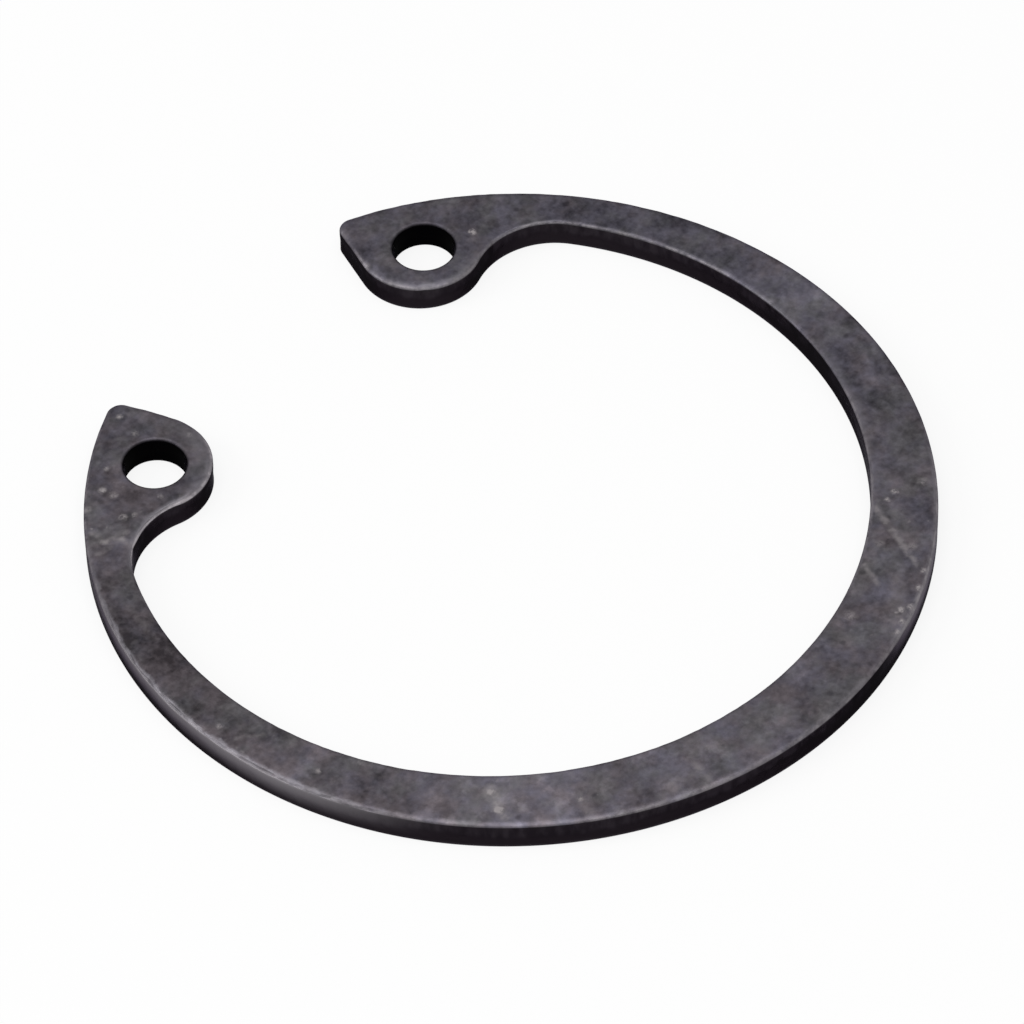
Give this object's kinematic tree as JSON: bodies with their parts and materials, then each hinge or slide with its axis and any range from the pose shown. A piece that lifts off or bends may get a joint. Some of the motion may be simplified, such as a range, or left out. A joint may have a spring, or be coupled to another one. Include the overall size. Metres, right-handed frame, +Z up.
{
  "type": "circlip retaining ring",
  "caption": "Internal retaining ring for a bore: a flat, tapered open ring of spring steel with two inward lugs, each with a plier hole.",
  "frame": {"origin": "centre of the outer circle, on the face that the ring lies on", "axes": "+Z up through the thickness, +Y from the centre to the middle of the gap between the lugs, +X to the right-hand lug"},
  "size_m": [0.032, 0.0306, 0.0012],
  "materials": {
    "spring_steel": "dark phosphate on stamped and tumbled spring steel, satin, lightly worn at the edges"
  },
  "bodies": {
    "root": {"retaining_ring": "spring_steel"}
  },
  "joints": []
}
